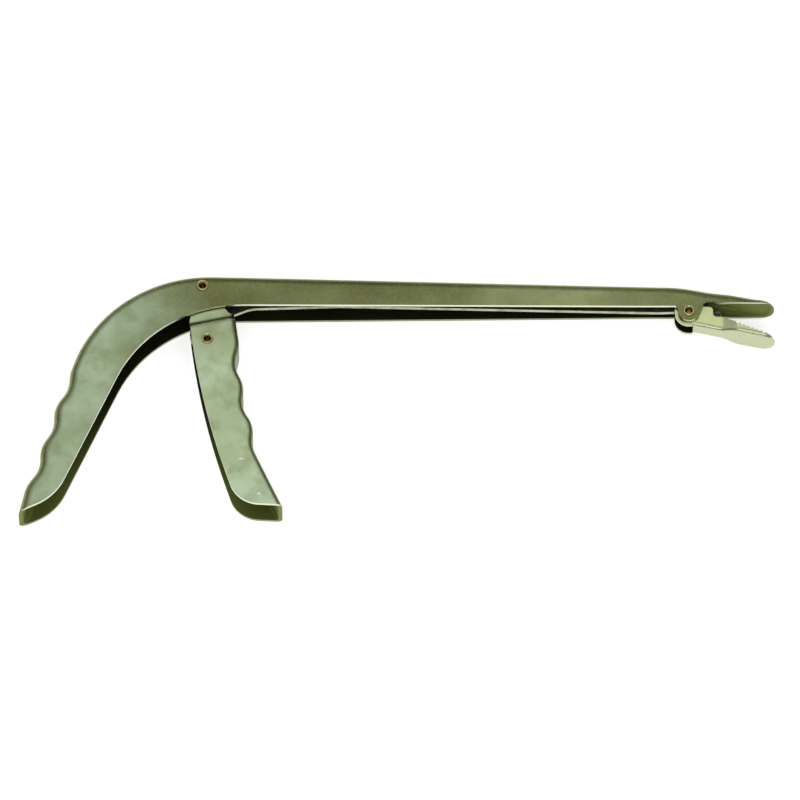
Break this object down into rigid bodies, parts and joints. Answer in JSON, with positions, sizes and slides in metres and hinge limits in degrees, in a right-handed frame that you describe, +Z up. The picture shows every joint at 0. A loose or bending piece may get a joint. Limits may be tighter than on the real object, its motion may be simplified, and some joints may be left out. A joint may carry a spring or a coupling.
{
  "type": "pistol-grip fish hook remover",
  "caption": "Pistol-grip hook remover: stamped channel handle and barrel, a trigger, a pull bar and a small toothed jaw that closes on a fixed one.",
  "frame": {"origin": "the trigger pivot's axis, at the height of the lower rivet heads that the tool lies on", "axes": "+X along the barrel to the jaws, +Y towards the barrel's closed top, +Z up and across the channels, along every pivot axis"},
  "size_m": [0.2405, 0.0837, 0.0143],
  "materials": {
    "plated_frame": "yellow-zinc plated, satin, slightly cloudy",
    "plated_trigger": "yellow-zinc plated, satin, slightly cloudy",
    "plated_jaw": "yellow-zinc plated, bright",
    "plated_bar": "bright plated strip",
    "rivet_metal": "satin, rolled heads",
    "inner_steel": "dull plated",
    "spring_steel": "drawn wire"
  },
  "bodies": {
    "frame": {"frame": "plated_frame", "trigger_pivot_rivet": "rivet_metal", "trigger_pivot_spacer": "inner_steel", "jaw_pivot_rivet": "rivet_metal"},
    "trigger": {"trigger": "plated_trigger", "link_rivet": "rivet_metal", "link_spacers": "inner_steel"},
    "pull_bar": {"pull_bar": "plated_bar"},
    "lower_jaw": {"lower_jaw": "plated_jaw", "jaw_link_pin": "inner_steel", "jaw_spring": "spring_steel"}
  },
  "joints": [
    {"name": "trigger_hinge", "type": "hinge", "parent": "frame", "child": "trigger", "pos_m": [0, 0, 0.00715], "axis": [0, 0, -1], "range_deg": [0, 4.63], "stiffness_Nm_per_rad": 1.2, "springref_deg": -3.44},
    {"name": "pull_bar_hinge", "type": "hinge", "parent": "trigger", "child": "pull_bar", "pos_m": [0.00165, -0.0188, 0.00715], "axis": [0, 0, 1], "range_deg": [0, 4.63]},
    {"name": "lower_jaw_hinge", "type": "hinge", "parent": "frame", "child": "lower_jaw", "pos_m": [0.15535, -0.008, 0.00715], "axis": [0, 0, 1], "range_deg": [0, 22.5]}
  ],
  "couplings": [
    {"joint": "pull_bar_hinge", "follows": "trigger_hinge", "ratio": 1},
    {"joint": "lower_jaw_hinge", "follows": "trigger_hinge", "ratio": 4.8596}
  ]
}
